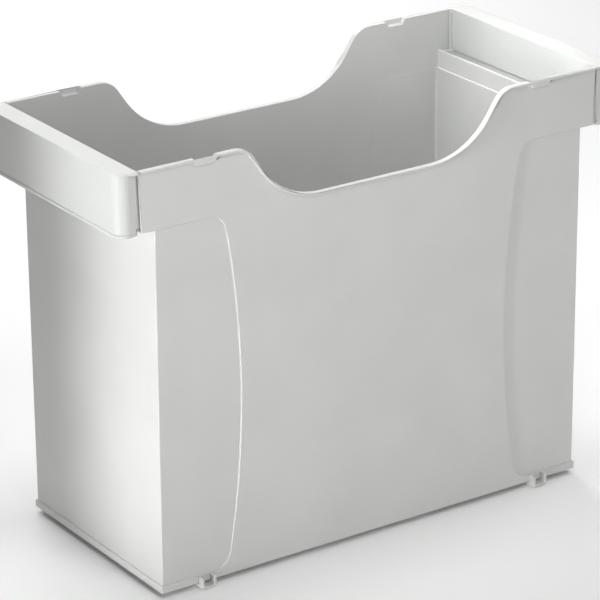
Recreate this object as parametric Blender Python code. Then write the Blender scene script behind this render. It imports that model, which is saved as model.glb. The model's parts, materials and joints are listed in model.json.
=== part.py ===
"""Desk box for A4 suspension files: a moulded tub, two draw-off end handles and four clip-in feet.

Lengths are in metres and +Z is up. X runs along the box and -Y is its front. The origin lies on the
floor under the middle of the box.
"""
import math

import bmesh
import bpy

# Driving dimensions
RAIL_SPACING = 0.3298            # inner faces of the two hanging rails
OVERALL_LENGTH = 0.383           # over the end handles
FOOT_DROP = 0.0034               # feet below the base of the tub
TUB_HEIGHT = 0.2869              # base to rim
WING_DEPTH = 0.0404              # rim to the underside of the wings, and to the bottom of the scoops
RAIL_BELOW_RIM = 0.0274
WALL = 0.0022
RAIL_THICKNESS = 0.0018
CLEARANCE = 0.0003               # running gap between separate pieces

# Tub body: half sizes at its base and how far they grow for each metre of height
BASE_HALF_LENGTH = 0.1662
BASE_HALF_DEPTH = 0.0797
END_DRAFT = 0.0005
SIDE_DRAFT = 0.00325
PANEL_RECESS = 0.0010            # end panels lie this far behind the middle of the wall
PANEL_WALL = 0.0014
BODY_CORNER_RADIUS = 0.0009
BASE_BAND_HEIGHT = 0.0052

# Edge of an end panel: a shallow arc that bows towards the middle of the box
PANEL_ARC_RADIUS = 0.63
PANEL_ARC_NEAREST = 0.104        # nearest distance of the arc from the middle of the box
PANEL_CORNER_RADIUS = 0.012
INNER_PANEL_SHIFT = 0.0012

# Open ends of the wings at the rim: they lean out from the base as the rest of the blank does
WING_END = 0.1763

# Scoops in the front and back walls
SCOOP_HALF_FLAT = 0.043
SCOOP_LOWER_RADIUS = 0.0535
SCOOP_UPPER_RADIUS = 0.016
SCOOP_ANGLE = math.radians(56)

# Lip around the top of the front and back walls
LIP_REACH = 0.0019
LIP_THICKNESS = 0.0018

# Pockets in the rim, each with a notch under the lip beside it
POCKET_X = 0.1290
POCKET_DEPTH = 0.0036
POCKET_HALF_TOP = 0.0080
POCKET_HALF_BOTTOM = 0.0058
POCKET_SKIN = 0.0010
NOTCH_LENGTH = 0.0046
NOTCH_HEIGHT = 0.0026
NOTCH_DEPTH = 0.0015

# U-shaped feet that stand proud of the base band
FOOT_X = 0.1335
FOOT_HALF_WIDTH = 0.0055
FOOT_WALL = 0.0021
FOOT_BEND_RADIUS = 0.0018
FOOT_INNER_RADIUS = 0.0004
FOOT_FRONT = 0.0845              # outer face of a foot, from the middle plane
FOOT_BACK = 0.0690
FOOT_RISE = 0.0050               # arms above the base of the tub
PEG_HALF_WIDTH = 0.0020
PEG_RISE = 0.0017                # pegs above the floor of the tub

# End handles: half depths of their side faces, distances from the middle of the box, and drops
# below the rim
HANDLE_INNER_FACE = 0.1768
HANDLE_SEAM_X = 0.1777           # edge of the side face; the cheek behind it reaches further in
HANDLE_WALL = 0.0022
HANDLE_HEIGHT = 0.0414
HANDLE_SIDE_AT_SEAM = 0.0797
HANDLE_SIDE_AT_CORNER = 0.0803
HANDLE_CORNER_X = 0.1835
HANDLE_DRAFT = 0.0007            # how much shorter a handle is at its bottom
HANDLE_LIP_AT_SEAM = 0.0825
CHEEK_DEPTH = 0.0780             # outer face of the cheeks, which slide inside the wings
CHEEK_THICKNESS = 0.0012
CHEEK_END = 0.1738
INNER_WALL_HEIGHT = 0.0296       # from the rim to the rebate that clears the files' hooks
REBATE = 0.0010
TONGUE_END = 0.1680
TONGUE_TOP_DROP = 0.0287
BEAD_HEIGHT = 0.0020
BEAD_REACH = 0.0005
OVERREACH = 0.1                  # how far cutters stand out beyond what they cut

# Levels above the floor
BASE_Z = FOOT_DROP
RIM_Z = BASE_Z + TUB_HEIGHT
WING_Z = RIM_Z - WING_DEPTH
RAIL_Z = RIM_Z - RAIL_BELOW_RIM
BAND_Z = BASE_Z + BASE_BAND_HEIGHT
FLOOR_Z = BASE_Z + WALL
FOOT_TOP = BASE_Z + FOOT_RISE
PEG_TOP = FLOOR_Z + PEG_RISE
HANDLE_BOTTOM = RIM_Z - HANDLE_HEIGHT
HANDLE_LENGTH = OVERALL_LENGTH / 2

PALE_GREY = (0.52, 0.53, 0.51, 1.0)
HANDLE_GREY = (0.54, 0.55, 0.53, 1.0)
FOOT_GREY = (0.56, 0.57, 0.55, 1.0)


def clear_scene():
    """Remove every object that the new file holds."""
    for item in list(bpy.data.objects):
        bpy.data.objects.remove(item, do_unlink=True)


def new_collection(name):
    """Make a collection under the scene's own."""
    collection = bpy.data.collections.new(name)
    bpy.context.scene.collection.children.link(collection)
    return collection


def plastic(name, colour):
    """Matt polystyrene in one colour."""
    material = bpy.data.materials.new(name)
    material.use_nodes = True
    shader = material.node_tree.nodes["Principled BSDF"]
    shader.inputs["Base Color"].default_value = colour
    shader.inputs["Roughness"].default_value = 0.5
    shader.inputs["Metallic"].default_value = 0.0
    return material


def arc(centre_x, centre_z, radius, start, end, steps):
    """Points along a circular arc, with angles in radians from +X."""
    points = []
    for step in range(steps + 1):
        angle = start + (end - start) * step / steps
        points.append((centre_x + radius * math.cos(angle), centre_z + radius * math.sin(angle)))
    return points


def mirrored(points):
    """The same points on the other side of the middle plane, in reverse order."""
    return [(-x, z) for x, z in reversed(points)]


def end_half_length(z):
    """Outer half length of the tub's end wall, without the recess."""
    return BASE_HALF_LENGTH + END_DRAFT * (z - BASE_Z)


def side_half_depth(z):
    """Outer half depth of the tub's front or back wall, without the recess."""
    return BASE_HALF_DEPTH + SIDE_DRAFT * (z - BASE_Z)


def block(name, low, high, corner_radius=0.0, corner_steps=4):
    """A six-sided block from (x0, x1, y0, y1, z) at its bottom to the same at its top.

    With a corner radius its four upright edges are rounded.
    """
    mesh = bpy.data.meshes.new(name)
    shape = bmesh.new()
    bmesh.ops.create_cube(shape, size=2.0)
    for vertex in shape.verts:
        level = high if vertex.co.z > 0 else low
        x = level[1] if vertex.co.x > 0 else level[0]
        y = level[3] if vertex.co.y > 0 else level[2]
        vertex.co = (x, y, level[4])
    if corner_radius > 0:
        upright = [edge for edge in shape.edges
                   if abs(edge.verts[0].co.z - edge.verts[1].co.z) > (high[4] - low[4]) / 2]
        bmesh.ops.bevel(shape, geom=upright, offset=corner_radius, offset_type="OFFSET",
                        segments=corner_steps, profile=0.5, affect="EDGES")
    shape.to_mesh(mesh)
    shape.free()
    return bpy.data.objects.new(name, mesh)


def box(name, x0, x1, y0, y1, z0, z1):
    """A plain upright box between two corners."""
    return block(name, (x0, x1, y0, y1, z0), (x0, x1, y0, y1, z1))


def centred_block(name, z0, size0, z1, size1, corner_radius=0.0):
    """A tapered block about the middle of the box, from its half sizes at two heights."""
    low = (-size0[0], size0[0], -size0[1], size0[1], z0)
    high = (-size1[0], size1[0], -size1[1], size1[1], z1)
    return block(name, low, high, corner_radius)


def outline_curve(name, points, half_thickness):
    """A filled flat outline, thickened on both sides of its plane."""
    curve = bpy.data.curves.new(name, "CURVE")
    curve.dimensions = "2D"
    curve.fill_mode = "BOTH"
    curve.extrude = half_thickness
    spline = curve.splines.new("POLY")
    spline.points.add(len(points) - 1)
    for point, (u, v) in zip(spline.points, points):
        point.co = (u, v, 0.0, 1.0)
    spline.use_cyclic_u = True
    return bpy.data.objects.new(name, curve)


def as_mesh(curve_object):
    """Replace a curve object that nothing uses yet with a mesh object of the same shape."""
    bpy.context.scene.collection.objects.link(curve_object)
    bpy.context.view_layer.update()
    depsgraph = bpy.context.evaluated_depsgraph_get()
    mesh = bpy.data.meshes.new_from_object(curve_object.evaluated_get(depsgraph))
    shape = bmesh.new()
    shape.from_mesh(mesh)
    shape.transform(curve_object.matrix_world)
    bmesh.ops.remove_doubles(shape, verts=shape.verts, dist=1e-6)
    bmesh.ops.dissolve_limit(shape, angle_limit=math.radians(0.1), verts=shape.verts, edges=shape.edges)
    bmesh.ops.recalc_face_normals(shape, faces=shape.faces)
    shape.to_mesh(mesh)
    shape.free()
    name = curve_object.name
    bpy.data.objects.remove(curve_object, do_unlink=True)
    return bpy.data.objects.new(name, mesh)


def front_outline(name, points, y0, y1):
    """An outline in X and Z, made solid between two values of Y."""
    flat = outline_curve(name, points, abs(y1 - y0) / 2)
    flat.rotation_euler = (math.radians(90), 0.0, 0.0)
    flat.location = (0.0, (y0 + y1) / 2, 0.0)
    return as_mesh(flat)


def plan_outline(name, points, z0, z1):
    """An outline in X and Y, made solid between two heights."""
    flat = outline_curve(name, points, (z1 - z0) / 2)
    flat.location = (0.0, 0.0, (z0 + z1) / 2)
    return as_mesh(flat)


def combine(target, operation, others):
    """Add one Boolean modifier to the target for each of the other solids."""
    for other in others:
        helpers.objects.link(other)
        other.hide_render = True
        other.display_type = "WIRE"
        modifier = target.modifiers.new(other.name, "BOOLEAN")
        modifier.operation = operation
        modifier.solver = "EXACT"
        modifier.object = other


def finish(item, material, collection):
    """Give a piece its material and put it in the model's collection."""
    item.data.materials.clear()
    item.data.materials.append(material)
    collection.objects.link(item)
    item.data.shade_smooth()
    item.data.set_sharp_from_angle(angle=math.radians(30))
    return item


def panel_edge(low_z, high_z, nearest, steps=14, corner_steps=4):
    """Edge of the right end panel, from its lower corner to its upper one.

    The long arc is centred beyond the end of the box, and a smaller arc inside it rounds each corner
    where it meets a level edge.
    """
    middle_z = (BAND_Z + WING_Z) / 2
    centre_x = nearest + PANEL_ARC_RADIUS
    reach = PANEL_ARC_RADIUS - PANEL_CORNER_RADIUS

    def corner(level_z):
        rise = level_z - middle_z
        return centre_x - math.sqrt(reach ** 2 - rise ** 2), level_z

    low_x, low_centre_z = corner(low_z + PANEL_CORNER_RADIUS)
    high_x, high_centre_z = corner(high_z - PANEL_CORNER_RADIUS)
    low_angle = math.atan2(low_centre_z - middle_z, low_x - centre_x) % math.tau
    high_angle = math.atan2(high_centre_z - middle_z, high_x - centre_x) % math.tau
    lower = arc(low_x, low_centre_z, PANEL_CORNER_RADIUS, 1.5 * math.pi, low_angle, corner_steps)
    long_arc = arc(centre_x, middle_z, PANEL_ARC_RADIUS, low_angle, high_angle, steps)
    upper = arc(high_x, high_centre_z, PANEL_CORNER_RADIUS, high_angle, 0.5 * math.pi, corner_steps)
    return lower + long_arc[1:-1] + upper


def rim_points(drop=0.0, steps=9):
    """Top edge of the front and back walls from left to right, moved square to itself by drop."""
    turn = 1 - math.cos(SCOOP_ANGLE)
    straight_rise = WING_DEPTH - (SCOOP_LOWER_RADIUS + SCOOP_UPPER_RADIUS) * turn
    across = (SCOOP_LOWER_RADIUS + SCOOP_UPPER_RADIUS) * math.sin(SCOOP_ANGLE)
    half_width = SCOOP_HALF_FLAT + across + straight_rise / math.tan(SCOOP_ANGLE)
    quarter = math.pi / 2
    lower = arc(SCOOP_HALF_FLAT, WING_Z + SCOOP_LOWER_RADIUS, SCOOP_LOWER_RADIUS + drop,
                -quarter, SCOOP_ANGLE - quarter, steps)
    upper = arc(half_width, RIM_Z - SCOOP_UPPER_RADIUS, SCOOP_UPPER_RADIUS - drop,
                quarter + SCOOP_ANGLE, quarter, steps)
    return mirrored(lower + upper) + lower + upper


def scoop_outline():
    """Front view of what the scoops take away; its top chords run on past the rim."""
    half = rim_points()
    half = half[len(half) // 2:]
    (before_x, before_z), (last_x, last_z) = half[-2:]
    half[-1] = (2 * last_x - before_x, 2 * last_z - before_z)
    half.append((half[-1][0], RIM_Z + OVERREACH))
    return mirrored(half) + half


def end_outline(low_z, high_z, nearest):
    """Front view of the right end panel, from its arc out past the end of the box."""
    beyond = HANDLE_LENGTH + OVERREACH
    return panel_edge(low_z, high_z, nearest) + [(beyond, high_z), (beyond, low_z)]


def solid_end_outline():
    """Front view of what stays solid beside the hollow on the right: end panel, rail and wing floor."""
    low_z = BASE_Z - PANEL_CORNER_RADIUS
    step_z = WING_Z + PANEL_RECESS / 2
    rail_face = RAIL_SPACING / 2
    channel_floor = WING_Z + WALL
    beyond = HANDLE_LENGTH + OVERREACH
    outline = panel_edge(low_z, step_z, PANEL_ARC_NEAREST - INNER_PANEL_SHIFT)
    outline += [(rail_face, step_z), (rail_face, RAIL_Z), (rail_face + RAIL_THICKNESS, RAIL_Z)]
    outline += [(rail_face + RAIL_THICKNESS, channel_floor), (beyond, channel_floor), (beyond, low_z)]
    return outline


def lip_outline():
    """Front view of the lip: a band along the rim, of which the half above the rim is cut away."""
    low = rim_points(LIP_THICKNESS)
    high = rim_points(-LIP_THICKNESS)
    end_x = WING_END - CLEARANCE
    low = [(-end_x, low[0][1])] + low + [(end_x, low[-1][1])]
    high = [(-end_x, high[0][1])] + high + [(end_x, high[-1][1])]
    return low + high[::-1]


def add_lips(tub):
    """Add the front and back lips, and the skins around the stacking pockets."""
    lip_inside = side_half_depth(RIM_Z) - WALL / 2
    skin_inside = side_half_depth(RIM_Z) - WALL / 3
    lip_outside = side_half_depth(RIM_Z) + LIP_REACH
    low_z = RIM_Z - POCKET_DEPTH - POCKET_SKIN
    high_z = RIM_Z + POCKET_SKIN
    half_low = POCKET_HALF_BOTTOM + POCKET_SKIN
    half_high = POCKET_HALF_TOP + POCKET_SKIN
    for side, word in ((-1, "front"), (1, "back")):
        lip = front_outline(word + "_lip", lip_outline(), side * lip_inside, side * lip_outside)
        combine(tub, "UNION", [lip])
        y0, y1 = sorted((side * skin_inside, side * (lip_outside + CLEARANCE)))
        for middle in (-POCKET_X, POCKET_X):
            skin = block("pocket_skin", (middle - half_low, middle + half_low, y0, y1, low_z),
                         (middle - half_high, middle + half_high, y0, y1, high_z))
            combine(tub, "UNION", [skin])


def make_tub():
    """The tub: one thin-walled moulding with wings, rails, scoops, lips, pockets and seats."""
    beyond = HANDLE_LENGTH + OVERREACH
    lean = (WING_END - BASE_HALF_LENGTH) / TUB_HEIGHT
    tub_top = RIM_Z + WALL
    tub = centred_block("file_tub", BASE_Z, (BASE_HALF_LENGTH, side_half_depth(BASE_Z)),
                        tub_top, (WING_END + lean * WALL, side_half_depth(tub_top)))
    panel = end_outline(BAND_Z, WING_Z, PANEL_ARC_NEAREST)
    combine(tub, "DIFFERENCE", [front_outline("right_panel", panel, -beyond, beyond),
                                front_outline("left_panel", mirrored(panel), -beyond, beyond)])

    def recessed(z, wall=0.0):
        return end_half_length(z) - PANEL_RECESS - wall, side_half_depth(z) - PANEL_RECESS - wall

    low_z = BASE_Z + PANEL_RECESS
    high_z = WING_Z + WALL
    body = centred_block("recessed_body", low_z, recessed(low_z), high_z, recessed(high_z),
                         corner_radius=BODY_CORNER_RADIUS)
    combine(tub, "UNION", [body])
    add_lips(tub)

    hollow_top = tub_top + WALL
    hollow = centred_block("hollow_middle", FLOOR_Z, (HANDLE_LENGTH, side_half_depth(FLOOR_Z) - WALL),
                           hollow_top, (HANDLE_LENGTH, side_half_depth(hollow_top) - WALL))
    solid_end = solid_end_outline()
    combine(hollow, "DIFFERENCE", [front_outline("right_solid_end", solid_end, -beyond, beyond),
                                   front_outline("left_solid_end", mirrored(solid_end), -beyond, beyond)])
    high_z = WING_Z + WALL / 2
    ends = centred_block("hollow_ends", FLOOR_Z, recessed(FLOOR_Z, PANEL_WALL),
                         high_z, recessed(high_z, PANEL_WALL), corner_radius=WALL)
    top = box("above_rim", -beyond, beyond, -beyond, beyond, RIM_Z, RIM_Z + OVERREACH)
    scoops = front_outline("scoops", scoop_outline(), -beyond, beyond)
    combine(tub, "DIFFERENCE", [hollow, ends, top, scoops])
    for side in (-1, 1):
        for end in (-1, 1):
            combine(tub, "DIFFERENCE", [*pocket_cuts(end * POCKET_X, side), peg_hole(end * FOOT_X, side)])
    return tub


def pocket_cuts(middle, side):
    """Cutters for one rim pocket and for the wedge-shaped notch under the lip beside it."""
    slope = (POCKET_HALF_TOP - POCKET_HALF_BOTTOM) / POCKET_DEPTH
    high_z = RIM_Z + POCKET_DEPTH
    half_high = POCKET_HALF_TOP + slope * POCKET_DEPTH
    half_low = POCKET_HALF_BOTTOM
    wall_outside = side_half_depth(RIM_Z)
    skin_outside = wall_outside + LIP_REACH + CLEARANCE
    y0, y1 = sorted((side * (wall_outside - 2 * WALL), side * (skin_outside - POCKET_SKIN)))
    pocket = block("pocket", (middle - half_low, middle + half_low, y0, y1, RIM_Z - POCKET_DEPTH),
                   (middle - half_high, middle + half_high, y0, y1, high_z))

    right = -side
    start_x = middle + right * (POCKET_HALF_TOP + POCKET_SKIN)
    top_z = RIM_Z - LIP_THICKNESS + CLEARANCE
    wedge = [(start_x, top_z), (start_x, top_z - NOTCH_HEIGHT), (start_x + right * NOTCH_LENGTH, top_z)]
    notch = front_outline("notch", wedge, side * (wall_outside - NOTCH_DEPTH),
                          side * (wall_outside + LIP_REACH / 2))
    return [pocket, notch]


def peg_hole(middle, side):
    """Cutter for the hole that takes one foot's peg."""
    half = PEG_HALF_WIDTH + CLEARANCE
    y0, y1 = sorted((side * (FOOT_BACK + WALL - CLEARANCE), side * (FOOT_BACK + 2 * WALL + CLEARANCE)))
    return box("peg_hole", middle - half, middle + half, y0, y1, 0.0, FLOOR_Z + WALL)


def foot_outline(half_width, low_z, bend_radius, high_z, steps=5):
    """Outer or inner U of a foot, from its left arm round to its right arm."""
    right = [(half_width - bend_radius, low_z)]
    right += arc(half_width - bend_radius, low_z + bend_radius, bend_radius,
                 -math.pi / 2, 0.0, steps)[1:]
    right.append((half_width, high_z))
    return mirrored(right) + right


def make_foot(name, middle, side):
    """A U-shaped foot: open at the front, with a snap peg up through the tub's floor."""
    outer = foot_outline(FOOT_HALF_WIDTH, 0.0, FOOT_BEND_RADIUS, FOOT_TOP)
    inner = foot_outline(FOOT_HALF_WIDTH - FOOT_WALL, FOOT_WALL, FOOT_INNER_RADIUS, FOOT_TOP)
    shape = [(middle + x, z) for x, z in outer + inner[::-1]]
    foot = front_outline(name, shape, side * FOOT_BACK, side * FOOT_FRONT)

    under_floor = BASE_Z - CLEARANCE
    y0, y1 = sorted((side * (FOOT_BACK - WALL), side * (side_half_depth(BAND_Z) + CLEARANCE)))
    trim = box(name + "_trim", middle - OVERREACH, middle + OVERREACH, y0, y1, under_floor, OVERREACH)
    combine(foot, "DIFFERENCE", [trim])

    web_half = FOOT_HALF_WIDTH - FOOT_WALL / 2
    y0, y1 = sorted((side * FOOT_BACK, side * (FOOT_BACK + 3 * WALL)))
    web = box(name + "_web", middle - web_half, middle + web_half, y0, y1, FOOT_WALL / 2, under_floor)
    y0, y1 = sorted((side * (FOOT_BACK + WALL), side * (FOOT_BACK + 2 * WALL)))
    peg = box(name + "_peg", middle - PEG_HALF_WIDTH, middle + PEG_HALF_WIDTH, y0, y1,
              FOOT_WALL, PEG_TOP)
    combine(foot, "UNION", [web, peg])
    return foot


def handle_plan(inner_x, inner_depth, seam_x, seam_depth, corner_depth, tip_x, radius, steps=6):
    """Plan of the right handle's outer or inner face, from its back seam round to its front one.

    The end nearest the middle of the box is inner_depth deep up to the seam, and seam_depth from there.
    """
    quarter = arc(tip_x - radius, corner_depth - radius, radius, math.pi / 2, 0.0, steps)
    back = [(inner_x, inner_depth), (seam_x, inner_depth)]
    if seam_depth > inner_depth:
        back.append((seam_x, seam_depth))
    back += [(HANDLE_CORNER_X, corner_depth)] + quarter[1:]
    return back + [(x, -y) for x, y in reversed(back)]


def make_handle(name, end):
    """A hollow end handle: an inverted channel with cheeks and tongues that slide inside the wings.

    The end is -1 for the left handle and 1 for the right one.
    """
    tip = HANDLE_LENGTH
    wall = HANDLE_WALL
    corner_radius = tip - HANDLE_CORNER_X

    def solid(suffix, plan, z0, z1):
        placed = [(end * x, y) for x, y in plan]
        return plan_outline(name + suffix, placed, z0, z1)

    handle = solid("", handle_plan(HANDLE_INNER_FACE, CHEEK_DEPTH, HANDLE_SEAM_X, HANDLE_SIDE_AT_SEAM,
                                   HANDLE_SIDE_AT_CORNER, tip, corner_radius), HANDLE_BOTTOM, RIM_Z)
    handle.name = name
    reach = tip - HANDLE_INNER_FACE
    for vertex in handle.data.vertices:
        if vertex.co.z < (HANDLE_BOTTOM + RIM_Z) / 2:
            share = (abs(vertex.co.x) - HANDLE_INNER_FACE) / reach
            vertex.co.x -= end * HANDLE_DRAFT * share

    bead_corner = HANDLE_SIDE_AT_CORNER + BEAD_REACH
    lip_plan = handle_plan(HANDLE_INNER_FACE, HANDLE_LIP_AT_SEAM, HANDLE_SEAM_X, HANDLE_LIP_AT_SEAM,
                           bead_corner, tip, corner_radius)
    bead_seam_x = HANDLE_SEAM_X + CLEARANCE
    bead_depth = HANDLE_SIDE_AT_SEAM + BEAD_REACH / 2
    bead_plan = handle_plan(HANDLE_INNER_FACE + wall / 2, CHEEK_DEPTH - wall / 2, bead_seam_x, bead_depth,
                            bead_corner, tip, corner_radius)
    combine(handle, "UNION", [solid("_lip", lip_plan, RIM_Z - LIP_THICKNESS, RIM_Z),
                              solid("_bead", bead_plan, HANDLE_BOTTOM, HANDLE_BOTTOM + BEAD_HEIGHT)])

    hollow_side = HANDLE_SIDE_AT_SEAM - wall
    hollow_plan = handle_plan(HANDLE_INNER_FACE + wall, hollow_side, HANDLE_INNER_FACE + 2 * wall,
                              hollow_side, HANDLE_SIDE_AT_CORNER - wall, tip - wall, corner_radius - wall)
    combine(handle, "DIFFERENCE", [solid("_hollow", hollow_plan, HANDLE_BOTTOM - wall, RIM_Z - wall)])

    inside = CHEEK_DEPTH - wall
    x0, x1 = sorted((end * (HANDLE_INNER_FACE - wall), end * (HANDLE_INNER_FACE + REBATE)))
    rebate = box(name + "_rebate", x0, x1, -inside, inside, HANDLE_BOTTOM - wall,
                 RIM_Z - INNER_WALL_HEIGHT)
    combine(handle, "DIFFERENCE", [rebate])

    tongue_low = WING_Z + WALL + CLEARANCE
    for side in (-1, 1):
        cheek_y = sorted((side * (CHEEK_DEPTH - CHEEK_THICKNESS), side * CHEEK_DEPTH))
        tongue_y = sorted((side * inside, side * CHEEK_DEPTH))
        cheek_x = sorted((end * CHEEK_END, end * (HANDLE_INNER_FACE + wall / 2)))
        tongue_x = sorted((end * TONGUE_END, end * (HANDLE_INNER_FACE + wall / 2)))
        combine(handle, "UNION", [
            box(name + "_cheek", *cheek_x, *cheek_y, tongue_low, RIM_Z - wall),
            box(name + "_tongue", *tongue_x, *tongue_y, tongue_low, RIM_Z - TONGUE_TOP_DROP)])
    return handle


clear_scene()
model = new_collection("suspension_file_box")
helpers = new_collection("cutters")
tub_plastic = plastic("tub_plastic", PALE_GREY)
handle_plastic = plastic("handle_plastic", HANDLE_GREY)
foot_plastic = plastic("foot_plastic", FOOT_GREY)

finish(make_tub(), tub_plastic, model)
for handle_name, handle_end in (("left_end_handle", -1), ("right_end_handle", 1)):
    finish(make_handle(handle_name, handle_end), handle_plastic, model)
for foot_side, side_word in ((-1, "front"), (1, "back")):
    for foot_end, end_word in ((-1, "left"), (1, "right")):
        foot_name = side_word + "_" + end_word + "_foot"
        finish(make_foot(foot_name, foot_end * FOOT_X, foot_side), foot_plastic, model)
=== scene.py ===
"""Looks of the A4 suspension-file desk box: finely edged plastic pieces, studio floor, lights and camera.

Lengths are in metres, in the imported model's frame: X along the box, -Y its front, +Z up.
"""
import json
import math

import bmesh
import bpy
import numpy as np
from mathutils import Matrix, Vector


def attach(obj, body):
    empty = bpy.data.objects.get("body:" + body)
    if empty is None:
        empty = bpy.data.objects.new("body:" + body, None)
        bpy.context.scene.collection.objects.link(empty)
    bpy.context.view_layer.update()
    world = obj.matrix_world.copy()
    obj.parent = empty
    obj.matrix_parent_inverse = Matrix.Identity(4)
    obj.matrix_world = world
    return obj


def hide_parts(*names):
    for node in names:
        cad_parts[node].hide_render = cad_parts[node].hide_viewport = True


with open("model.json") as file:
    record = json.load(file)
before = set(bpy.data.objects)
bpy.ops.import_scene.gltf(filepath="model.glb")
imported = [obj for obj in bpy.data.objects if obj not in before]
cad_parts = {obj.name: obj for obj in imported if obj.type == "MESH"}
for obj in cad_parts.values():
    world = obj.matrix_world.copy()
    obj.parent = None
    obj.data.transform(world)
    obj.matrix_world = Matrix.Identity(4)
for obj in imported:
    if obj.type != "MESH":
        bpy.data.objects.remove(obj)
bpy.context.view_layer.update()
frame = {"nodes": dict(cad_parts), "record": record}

# Edges of the mouldings
EDGE_RADIUS = {"tub_plastic": 0.00045, "handle_plastic": 0.00045, "foot_plastic": 0.0006}
EDGE_SEGMENTS = 3
ROUND_PROFILE = 0.5
SHARP_ANGLE = math.radians(28)
WELD_DISTANCE = 2e-6
CONVEX_ROOM = 1.2      # an outside edge is rounded where the next edge is this many radii away
CONCAVE_ROOM = 2.2     # the same for an inside edge
NORMAL_WEIGHT = 80     # how far the flat faces decide the normals of the rounded edges

# Camera
CAMERA_LENS = 202.7    # mm, on a sensor of the width below
SENSOR_WIDTH = 36.0
CLIP_START = 0.05
CLIP_END = 50.0
CAMERA_SHIFT = -0.0667
CAMERA_DISTANCE = 2.2266
CAMERA_AZIMUTH = math.radians(-34.09)
CAMERA_ELEVATION = math.radians(21.23)
CAMERA_ROLL = math.radians(-0.45)
CAMERA_TARGET = Vector((-0.0048, 0.0, 0.1693))

# Surroundings
HORIZON_STRENGTH = 0.90
ZENITH_STRENGTH = 0.10
HORIZON_FADE = 0.45    # sine of the elevation at which the horizon's brightness has faded out
FLOOR_HALF_SIZE = 6.0
FLOOR_DROP = 0.0002    # floor below the feet, so that the two are not in one plane
FLOOR_COLOUR = (0.95, 0.95, 0.95, 1.0)
FLOOR_ROUGHNESS = 0.9

# Studio lights: place, point aimed at, width, height, power in watts, spread of the beam in degrees
OPEN_BEAM = 180.0
LIGHTS = {
    "end_strip_front": ((-0.75, -0.17, 0.26), (-0.18, -0.13, 0.26), 0.04, 0.60, 0.27, 22.0),
    "end_strip_middle": ((-0.75, -0.03, 0.26), (-0.18, -0.03, 0.26), 0.04, 0.60, 0.12, 15.5),
    "front_left_box": ((-0.25, -0.75, 0.28), (-0.06, -0.08, 0.16), 0.30, 0.30, 1.0, OPEN_BEAM),
    "inner_box": ((-0.10, -0.50, 0.75), (0.12, 0.08, 0.22), 0.25, 0.25, 1.5, OPEN_BEAM),
    "inner_spot": ((-0.18, -0.025, 0.56), (0.166, 0.015, 0.265), 0.10, 0.10, 0.08, 50.0),
    "inner_beam": ((-0.10, -0.02, 0.62), (0.17, 0.0, 0.245), 0.08, 0.08, 0.029, 26.0),
    "top_box": ((-0.10, 0.05, 1.30), (0.0, 0.0, 0.25), 0.50, 0.60, 2.8, OPEN_BEAM),
    "right_box": ((0.55, -0.05, 1.10), (0.10, 0.0, 0.25), 0.40, 0.40, 3.0, OPEN_BEAM),
    "back_box": ((0.0, 1.20, 1.60), (0.0, 0.0, 0.10), 1.20, 0.80, 16.5, OPEN_BEAM),
    "floor_box": ((0.65, 1.55, 0.90), (0.68, 1.05, 0.0), 1.30, 0.50, 7.5, OPEN_BEAM),
}

# Finish: linear colours
TUB_COLOUR = (0.568, 0.574, 0.561)
HANDLE_COLOUR = (0.552, 0.561, 0.545)
# Feet: the tub's plastic, made lighter than the tub's colour as a painted highlight for the whiter look
# the loops catch
FOOT_COLOUR_AND_PAINTED_HIGHLIGHT = (0.590, 0.600, 0.582)

# Finish: mottling and fine eroded grain, their scales in noise cells per metre
MOTTLE_SCALE = 22.0
MOTTLE_DETAIL = 4.0
MOTTLE_LOW = 0.3
MOTTLE_HIGH = 0.7
MOTTLE_DARKER = 0.97
MOTTLE_LIGHTER = 1.02
GRAIN_SCALE = 1500.0
GRAIN_DETAIL = 3.0
GRAIN_DEPTH = 0.0001
GRAIN_STRENGTH = 0.12
SMOOTHEST = 0.38
ROUGHEST = 0.52
PLASTIC_IOR = 1.5


def link(item):
    """Put an object in the scene."""
    bpy.context.scene.collection.objects.link(item)
    return item


def gaps_between(edges):
    """Distance from the middle of each edge to the nearest other edge that is not its neighbour."""
    starts = np.array([edge.verts[0].co for edge in edges])
    runs = np.array([edge.verts[1].co for edge in edges]) - starts
    ends = np.array([[vertex.index for vertex in edge.verts] for edge in edges])
    squares = (runs * runs).sum(axis=1)
    gaps = []
    for start, run, own_ends in zip(starts, runs, ends):
        middle = start + run / 2
        share = np.clip(((middle - starts) * runs).sum(axis=1) / squares, 0.0, 1.0)
        distance = np.linalg.norm(starts + share[:, None] * runs - middle, axis=1)
        touching = np.isin(ends, own_ends).any(axis=1)
        neighbours = np.isin(ends, ends[touching]).any(axis=1)
        gaps.append(distance[~neighbours].min())
    return gaps


def moulded_copy(node_name, radius):
    """A copy of a CAD node's shape with its edges rounded as a moulding's are."""
    source = frame["nodes"][node_name]
    mesh = source.data.copy()
    mesh.transform(source.matrix_world)
    shape = bmesh.new()
    shape.from_mesh(mesh)
    bmesh.ops.remove_doubles(shape, verts=shape.verts, dist=WELD_DISTANCE)
    shape.verts.index_update()
    sharp = [edge for edge in shape.edges if edge.calc_face_angle(0.0) > SHARP_ANGLE]
    sharp = [edge for edge, gap in zip(sharp, gaps_between(sharp))
             if gap > (CONVEX_ROOM if edge.is_convex else CONCAVE_ROOM) * radius]
    bmesh.ops.bevel(shape, geom=sharp, offset=radius, offset_type="OFFSET", segments=EDGE_SEGMENTS,
                    profile=ROUND_PROFILE, affect="EDGES", clamp_overlap=False)
    shape.to_mesh(mesh)
    shape.free()
    piece = link(bpy.data.objects.new(node_name + "_moulding", mesh))
    mesh.shade_smooth()
    normals = piece.modifiers.new("flat_faces_stay_flat", "WEIGHTED_NORMAL")
    normals.mode = "FACE_AREA"
    normals.weight = NORMAL_WEIGHT
    return piece


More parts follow.
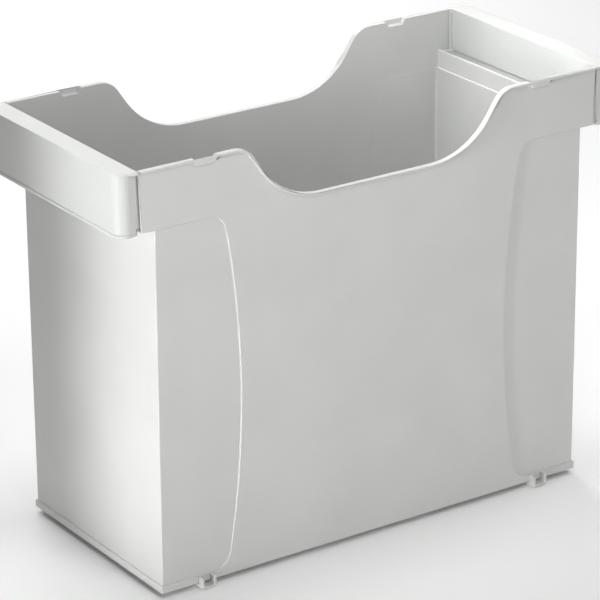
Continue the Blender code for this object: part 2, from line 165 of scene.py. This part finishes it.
def moulded_plastic(name, colour):
    """Fine matt polystyrene with slight mottling and a faint eroded grain."""
    material = bpy.data.materials.new(name)
    material.use_nodes = True
    nodes = material.node_tree.nodes
    links = material.node_tree.links
    shader = nodes["Principled BSDF"]
    shader.inputs["Metallic"].default_value = 0.0
    shader.inputs["IOR"].default_value = PLASTIC_IOR

    place = nodes.new("ShaderNodeTexCoord")
    mottle = nodes.new("ShaderNodeTexNoise")
    mottle.inputs["Scale"].default_value = MOTTLE_SCALE
    mottle.inputs["Detail"].default_value = MOTTLE_DETAIL
    links.new(place.outputs["Object"], mottle.inputs["Vector"])
    tone = nodes.new("ShaderNodeValToRGB")
    tone.color_ramp.elements[0].position = MOTTLE_LOW
    tone.color_ramp.elements[1].position = MOTTLE_HIGH
    darker = tuple(MOTTLE_DARKER * part for part in colour)
    lighter = tuple(MOTTLE_LIGHTER * part for part in colour)
    tone.color_ramp.elements[0].color = (*darker, 1.0)
    tone.color_ramp.elements[1].color = (*lighter, 1.0)
    links.new(mottle.outputs["Fac"], tone.inputs["Fac"])
    links.new(tone.outputs["Color"], shader.inputs["Base Color"])

    grain = nodes.new("ShaderNodeTexNoise")
    grain.inputs["Scale"].default_value = GRAIN_SCALE
    grain.inputs["Detail"].default_value = GRAIN_DETAIL
    links.new(place.outputs["Object"], grain.inputs["Vector"])
    roughness = nodes.new("ShaderNodeMapRange")
    roughness.inputs["To Min"].default_value = SMOOTHEST
    roughness.inputs["To Max"].default_value = ROUGHEST
    links.new(grain.outputs["Fac"], roughness.inputs["Value"])
    links.new(roughness.outputs["Result"], shader.inputs["Roughness"])
    bump = nodes.new("ShaderNodeBump")
    bump.inputs["Strength"].default_value = GRAIN_STRENGTH
    bump.inputs["Distance"].default_value = GRAIN_DEPTH
    links.new(grain.outputs["Fac"], bump.inputs["Height"])
    links.new(bump.outputs["Normal"], shader.inputs["Normal"])
    return material


def area_light(name, place, aim, width, height, power, spread):
    """A rectangular softbox that points from its place at another point, its beam spread in degrees."""
    data = bpy.data.lights.new(name, "AREA")
    data.shape = "RECTANGLE"
    data.size = width
    data.size_y = height
    data.energy = power
    data.spread = math.radians(spread)
    light = link(bpy.data.objects.new(name, data))
    light.location = place
    light.rotation_euler = (Vector(aim) - Vector(place)).to_track_quat("-Z", "Y").to_euler()
    light.visible_camera = False
    return light


def make_camera():
    """The camera on the photograph's side of the box."""
    data = bpy.data.cameras.new("camera")
    data.lens = CAMERA_LENS
    data.sensor_width = SENSOR_WIDTH
    data.shift_y = CAMERA_SHIFT
    data.clip_start = CLIP_START
    data.clip_end = CLIP_END
    camera = link(bpy.data.objects.new("camera", data))
    away = Vector((math.sin(CAMERA_AZIMUTH) * math.cos(CAMERA_ELEVATION),
                   -math.cos(CAMERA_AZIMUTH) * math.cos(CAMERA_ELEVATION),
                   math.sin(CAMERA_ELEVATION)))
    turn = (-away).to_track_quat("-Z", "Y").to_matrix().to_4x4() @ Matrix.Rotation(CAMERA_ROLL, 4, "Z")
    camera.matrix_world = Matrix.Translation(CAMERA_TARGET + away * CAMERA_DISTANCE) @ turn
    bpy.context.scene.camera = camera


def make_floor():
    """A plain white floor."""
    mesh = bpy.data.meshes.new("floor")
    shape = bmesh.new()
    bmesh.ops.create_grid(shape, x_segments=1, y_segments=1, size=FLOOR_HALF_SIZE)
    shape.to_mesh(mesh)
    shape.free()
    floor = link(bpy.data.objects.new("floor", mesh))
    floor.location.z = -FLOOR_DROP
    material = bpy.data.materials.new("floor_paint")
    material.use_nodes = True
    shader = material.node_tree.nodes["Principled BSDF"]
    shader.inputs["Base Color"].default_value = FLOOR_COLOUR
    shader.inputs["Roughness"].default_value = FLOOR_ROUGHNESS
    mesh.materials.append(material)


def make_world(horizon, zenith):
    """Pale surroundings whose strength runs from the horizon's up to the zenith's."""
    world = bpy.data.worlds.new("studio")
    world.use_nodes = True
    nodes = world.node_tree.nodes
    links = world.node_tree.links
    background = nodes["Background"]
    background.inputs["Color"].default_value = (1.0, 1.0, 1.0, 1.0)
    place = nodes.new("ShaderNodeTexCoord")
    parts = nodes.new("ShaderNodeSeparateXYZ")
    links.new(place.outputs["Generated"], parts.inputs["Vector"])
    fade = nodes.new("ShaderNodeMapRange")
    fade.inputs["From Max"].default_value = HORIZON_FADE
    fade.inputs["To Min"].default_value = horizon
    fade.inputs["To Max"].default_value = zenith
    links.new(parts.outputs["Z"], fade.inputs["Value"])
    links.new(fade.outputs["Result"], background.inputs["Strength"])
    bpy.context.scene.world = world


finishes = {
    "tub_plastic": moulded_plastic("tub_plastic_fine", TUB_COLOUR),
    "handle_plastic": moulded_plastic("handle_plastic_fine", HANDLE_COLOUR),
    # the feet's lighter colour is partly painted highlight, not only the plastic's own tone
    "foot_plastic": moulded_plastic("foot_plastic_fine_and_painted_highlight", FOOT_COLOUR_AND_PAINTED_HIGHLIGHT),
}
slots = {entry["node"]: entry["material_slot"] for entry in frame["record"]["subparts"]}
for body_name, node_names in frame["record"]["behaviour"]["bodies"].items():
    for node_name in node_names:
        piece = moulded_copy(node_name, EDGE_RADIUS[slots[node_name]])
        piece.data.materials.clear()
        piece.data.materials.append(finishes[slots[node_name]])
        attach(piece, body_name)
        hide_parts(node_name)

bpy.context.scene.view_settings.view_transform = "Standard"
make_camera()
make_floor()
make_world(HORIZON_STRENGTH, ZENITH_STRENGTH)
for light_name, light_values in LIGHTS.items():
    area_light(light_name, *light_values)
